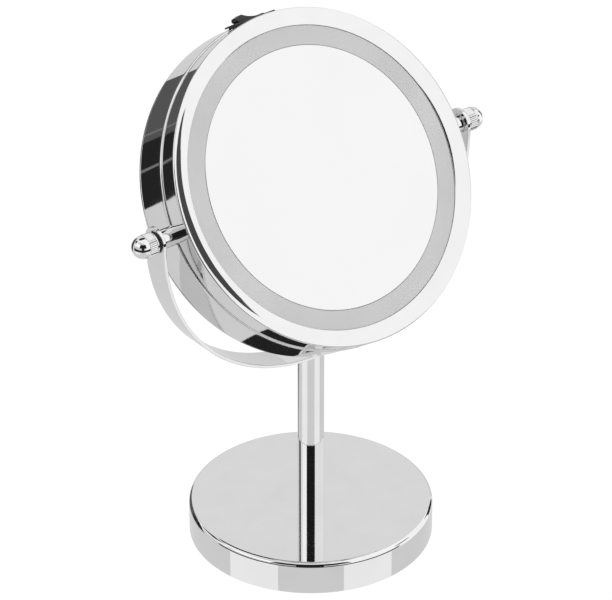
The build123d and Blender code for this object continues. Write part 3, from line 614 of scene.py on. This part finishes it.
def make_knob(name, matrix, stud_r):
    """Straight-knurled barrel between two plain lips, with a domed end."""
    _, barrel_r, low, high = turned_span(f"knob_{name}", matrix)
    dome_r = 5.9 * MM
    dome_start = high - dome_r
    lip = 0.75 * MM
    channel_r = barrel_r - 0.4 * MM
    neck_r = barrel_r - 0.55 * MM
    groove = 0.28 * MM
    groove_narrowing = 1.6
    knurl_sharp = 50
    barrel_low = low + lip + 0.25 * MM
    barrel_high = dome_start - 0.75 * MM

    def knurl(radius, height, angle):
        if radius < barrel_r * 0.9 or height < barrel_low - WELD or height > barrel_high + WELD:
            return radius
        wave = 0.5 - 0.5 * math.cos(angle * KNURLS)
        return radius - groove * (1 - wave) ** groove_narrowing

    outline = [
        (stud_r, low), (barrel_r - 0.25 * MM, low), (barrel_r, low + 0.2 * MM), (barrel_r, low + lip),
        (channel_r, low + lip + 0.12 * MM), (channel_r, barrel_low - 0.05 * MM),
    ]
    barrel_rows = 6
    outline += [(barrel_r, barrel_low + (barrel_high - barrel_low) * row / barrel_rows)
                for row in range(barrel_rows + 1)]
    outline += [(neck_r, barrel_high + 0.25 * MM), (neck_r, dome_start - 0.2 * MM), (dome_r, dome_start)]
    dome_rows = 20
    for row in range(1, dome_rows + 1):
        turn = math.pi / 2 * row / dome_rows
        radius = dome_r * math.cos(turn) if row < dome_rows else 0
        outline.append((radius, dome_start + dome_r * math.sin(turn)))
    socket_top = low + 4.0 * MM
    outline += [(0, socket_top), (stud_r, socket_top)]
    knob = lathe(f"knob_skin_{name}", outline, matrix, KNURLS * KNURL_FACETS, knurl, knurl_sharp)
    finish(knob, f"knob_{name}", "chrome_trim", CHROME, f"knob_{name}")


# ---------------------------------------------------------------- head: switch
def rounded_rectangle(half_x, half_y, radius, height):
    """Loop of points round a rectangle at one height."""
    flat = rounded([
        (-half_x, -half_y, radius), (half_x, -half_y, radius),
        (half_x, half_y, radius), (-half_x, half_y, radius),
    ])
    return [(x, y, height) for x, y in flat]


def make_switch():
    """Switch housing with a flange and an open pocket."""
    points = local_points("switch_housing", HEAD)
    top = max(p.y for p in points)
    bottom = min(p.y for p in points)
    middle = (max(p.z for p in points) + min(p.z for p in points)) / 2
    flange_x = max(p.x for p in points)
    flange_a = (max(p.z for p in points) - min(p.z for p in points)) / 2
    matrix = frame_of(HEAD @ Vector((0, top, middle)), ACROSS, -FORWARD, RIMWARD)
    thick = 0.9 * MM
    edge = 0.35 * MM
    body_x, body_a = 11.5 * MM, 3.8 * MM
    pocket_x, pocket_a = 10.9 * MM, 3.0 * MM
    depth = 6.4 * MM
    corner = 1.6 * MM
    loops = [
        rounded_rectangle(body_x, body_a, 0.4 * MM, bottom - top),
        rounded_rectangle(body_x, body_a, 0.4 * MM, -thick),
        rounded_rectangle(flange_x, flange_a, corner, -thick),
        rounded_rectangle(flange_x, flange_a, corner, -edge),
        rounded_rectangle(flange_x - 0.12 * MM, flange_a - 0.12 * MM, corner, -0.1 * MM),
        rounded_rectangle(flange_x - edge, flange_a - edge, corner - edge, 0),
        rounded_rectangle(pocket_x + 0.2 * MM, pocket_a + 0.2 * MM, 0.5 * MM, 0),
        rounded_rectangle(pocket_x, pocket_a, 0.4 * MM, -0.2 * MM),
        rounded_rectangle(pocket_x, pocket_a, 0.4 * MM, -depth),
    ]
    housing = loft("switch_housing_skin", loops, matrix)
    finish(housing, "head", "switch_black", BLACK, "switch_housing")


def make_rocker():
    """Saddle-shaped rocker tipped to its stored position; it follows the CAD rocker's section."""
    joint = JOINTS["rocker_switch"]
    origin = Vector(joint["pos_m"])
    _, _, side_low, side_high = turned_span("rocker", HEAD)
    half_w = (side_high - side_low) / 2
    tilt = -math.radians(joint["range_deg"][1]) / 2
    along = ACROSS * math.cos(tilt) + RIMWARD * math.sin(tilt)
    matrix = frame_of(origin, along, FORWARD.cross(along), FORWARD)
    end_x, peak_x = 9.8 * MM, 6.4 * MM
    peak, saddle, shoulder, foot, belly = 3.9 * MM, 2.7 * MM, 2.2 * MM, 0.6 * MM, -2.0 * MM
    rounded_from = 24
    steps = 14
    outline = []
    for step in range(steps + 1):
        u = -1 + 2 * step / steps
        outline.append((peak_x * u, saddle + (peak - saddle) * u * u))
    outline += [(end_x, shoulder), (end_x, foot)]
    for step in range(1, steps):
        u = 1 - 2 * step / steps
        outline.append((end_x * u, belly + (foot - belly) * u * u))
    outline += [(-end_x, foot), (-end_x, shoulder)]
    sides = [[(x, y, side) for x, y in outline] for side in (-half_w, half_w)]
    rocker = loft("rocker_skin", sides, matrix)
    soften = rocker.modifiers.new("soften", "BEVEL")
    soften.width = 0.45 * MM
    soften.segments = 4
    soften.limit_method = "ANGLE"
    soften.angle_limit = math.radians(rounded_from)
    rocker.modifiers.move(1, 0)
    apply_modifiers(rocker)
    finish(rocker, "rocker", "switch_black", BLACK, "rocker")


# ---------------------------------------------------------------- studio
def aim(thing, place, target):
    """Put a camera or light somewhere, with its -Z axis towards a target."""
    away = (Vector(place) - Vector(target)).normalized()
    thing.matrix_world = Matrix.Translation(place) @ away.to_track_quat("Z", "Y").to_matrix().to_4x4()


def make_camera():
    """Long lens from the front left, looking down at the mirror."""
    azimuth = math.radians(-38.17)
    pitch = math.radians(31.33)
    distance = 2.540
    sideways = -0.0025
    target_height = 0.1382
    level = math.cos(pitch)
    back = Vector((math.sin(azimuth) * level, -math.cos(azimuth) * level, math.sin(pitch)))
    right = Vector((math.cos(azimuth), math.sin(azimuth), 0))
    place = Vector((0, 0, target_height)) + back * distance + right * sideways
    data = bpy.data.cameras.new("camera")
    data.lens = 293.2
    data.sensor_width = 36
    data.clip_end = 100
    camera = bpy.data.objects.new("camera", data)
    bpy.context.scene.collection.objects.link(camera)
    aim(camera, place, place - back)
    bpy.context.scene.camera = camera


def emission(name, level):
    """Plain light-emitting material."""
    material = bpy.data.materials.new(name)
    material.use_nodes = True
    tree = material.node_tree
    tree.nodes.remove(tree.nodes["Principled BSDF"])
    glow = tree.nodes.new("ShaderNodeEmission")
    glow.inputs["Color"].default_value = (1, 1, 1, 1)
    glow.inputs["Strength"].default_value = level
    tree.links.new(glow.outputs["Emission"], tree.nodes["Material Output"].inputs["Surface"])
    return material


FLOOR_R = 8.0
BACKDROP = 1.02  # a shade over white, so that the background comes out clean
SURROUND = 0.72  # what a reflection shows between the panels
LIGHTS = (
    # name, place, diameter, watts
    ("key", (-1.2, -1.8, 2.2), 1.6, 30),
    ("fill", (2.0, -1.2, 1.6), 1.8, 18),
)
PANELS = (
    # name, azimuths, elevations, level, distance, shape; degrees, azimuth 0 is +X and 90 is +Y
    ("front_white", (-104, 18), (-28, 70), 1.10, 4.5, "patch"),
    ("left_white", (-262, -208), (8, 66), 1.02, 4.4, "patch"),
    ("overhead_white", (-180, 180), (66, 90), 1.05, 4.6, "patch"),
    ("camera_white", (-206, -165), (20, 44), 1.30, 4.1, "patch"),
    ("left_edge_black", (-250, -226), (22, 42), 0.02, 4.0, "patch"),
    ("back_light_grey", (18, 84), (14, 46), 0.83, 4.4, "patch"),
    ("back_high_black", (36, 112), (48, 73), 0.02, 4.2, "patch"),
    ("camera_black", (-164, -92), (14, 50), 0.015, 4.0, "patch"),
    ("tripod_black", (-141, -117), (-26, 14), 0.015, 4.0, "patch"),
    ("horizon_black", (-216, -44), (-23, -2), 0.03, 3.9, "patch"),
    ("right_black", (-46, -27), (14.5, 29.5), 0.07, 3.8, "oval"),
    ("right_far_black", (0, 16), (-14, 22), 0.03, 4.0, "patch"),
    ("back_dark_grey", (77, 120), (-36, 24), 0.10, 4.0, "oval"),
    ("back_black", (102, 122), (-34, 14), 0.02, 3.9, "oval"),
    ("back_line_low", (111.0, 111.8), (-24, 4), 0.20, 3.8, "oval"),
    ("back_line_high", (99.2, 99.8), (-20, 10), 0.20, 3.8, "oval"),
    ("low_white_right", (-97, -46), (-46, -29), 0.99, 4.2, "patch"),
    ("low_white_left", (150, 201), (-46, -16), 0.99, 4.2, "patch"),
)
PANEL_STEP = 3.0  # degrees


def sphere_point(azimuth, elevation, distance):
    """Point at a distance from the pivot, from angles in degrees."""
    a, e = math.radians(azimuth), math.radians(elevation)
    return PIVOT + Vector((math.cos(a) * math.cos(e), math.sin(a) * math.cos(e), math.sin(e))) * distance


def across(span, share):
    """Value at a share of a span, from -1 at its start to 1 at its end."""
    start, end = span
    return (start + end) / 2 + (end - start) / 2 * share


def panel(name, azimuths, elevations, level, distance, shape):
    """Studio panel seen only in reflections: part of a large sphere round the object."""
    columns = max(2, round((azimuths[1] - azimuths[0]) / PANEL_STEP))
    rows = max(2, round((elevations[1] - elevations[0]) / PANEL_STEP))
    bm = bmesh.new()
    grid = []
    for row in range(rows + 1):
        v = -1 + 2 * row / rows
        narrow = math.sqrt(max(0, 1 - v * v)) if shape == "oval" else 1
        elevation = across(elevations, v)
        line = []
        for column in range(columns + 1):
            u = (-1 + 2 * column / columns) * narrow
            line.append(bm.verts.new(sphere_point(across(azimuths, u), elevation, distance)))
        grid.append(line)
    for low, high in zip(grid, grid[1:]):
        for column in range(columns):
            bm.faces.new((low[column], low[column + 1], high[column + 1], high[column]))
    piece = new_piece(name, bm, UPRIGHT, weighted=False)
    piece.data.materials.append(emission(name + "_light", level))
    piece.visible_camera = False
    piece.visible_diffuse = False
    piece.visible_shadow = False


def make_world():
    """White to the camera, soft grey in reflections."""
    world = bpy.data.worlds.new("studio")
    bpy.context.scene.world = world
    world.use_nodes = True
    tree = world.node_tree
    seen = tree.nodes["Background"]
    seen.inputs["Color"].default_value = (1, 1, 1, 1)
    seen.inputs["Strength"].default_value = BACKDROP
    mirrored = tree.nodes.new("ShaderNodeBackground")
    mirrored.inputs["Color"].default_value = (1, 1, 1, 1)
    mirrored.inputs["Strength"].default_value = SURROUND
    rays = tree.nodes.new("ShaderNodeLightPath")
    either = tree.nodes.new("ShaderNodeMixShader")
    tree.links.new(rays.outputs["Is Camera Ray"], either.inputs["Fac"])
    tree.links.new(mirrored.outputs["Background"], either.inputs[1])
    tree.links.new(seen.outputs["Background"], either.inputs[2])
    tree.links.new(either.outputs["Shader"], tree.nodes["World Output"].inputs["Surface"])


def make_floor():
    """Plain floor as white as the background; the camera sees through it, so a low view shows the base."""
    bm = bmesh.new()
    bmesh.ops.create_circle(bm, cap_ends=True, segments=64, radius=FLOOR_R)
    floor = new_piece("floor", bm, UPRIGHT, weighted=False)
    floor.data.materials.append(emission("floor_white", BACKDROP))
    floor.location.z = -0.2 * MM
    floor.visible_camera = False
    floor.visible_glossy = False


def make_lights():
    """Two large soft lights."""
    for name, place, diameter, watts in LIGHTS:
        data = bpy.data.lights.new(name, "AREA")
        data.shape = "DISK"
        data.size = diameter
        data.energy = watts
        lamp = bpy.data.objects.new(name, data)
        bpy.context.scene.collection.objects.link(lamp)
        aim(lamp, place, PIVOT)
        lamp.visible_glossy = False


def make_studio():
    """Colour handling, world, floor, lights and reflection panels."""
    bpy.context.scene.view_settings.view_transform = "Standard"
    make_world()
    make_floor()
    make_lights()
    for row in PANELS:
        panel(*row)


make_camera()
dress_cad_nodes()
make_base()
make_stem()
make_yoke()
make_yoke_screw()
make_rim()
make_front_face()
make_rear_face()
for pivot_side, pivot_name in ((-1, "left"), (1, "right")):
    make_pivot(pivot_side, pivot_name)
make_switch()
make_rocker()
make_studio()
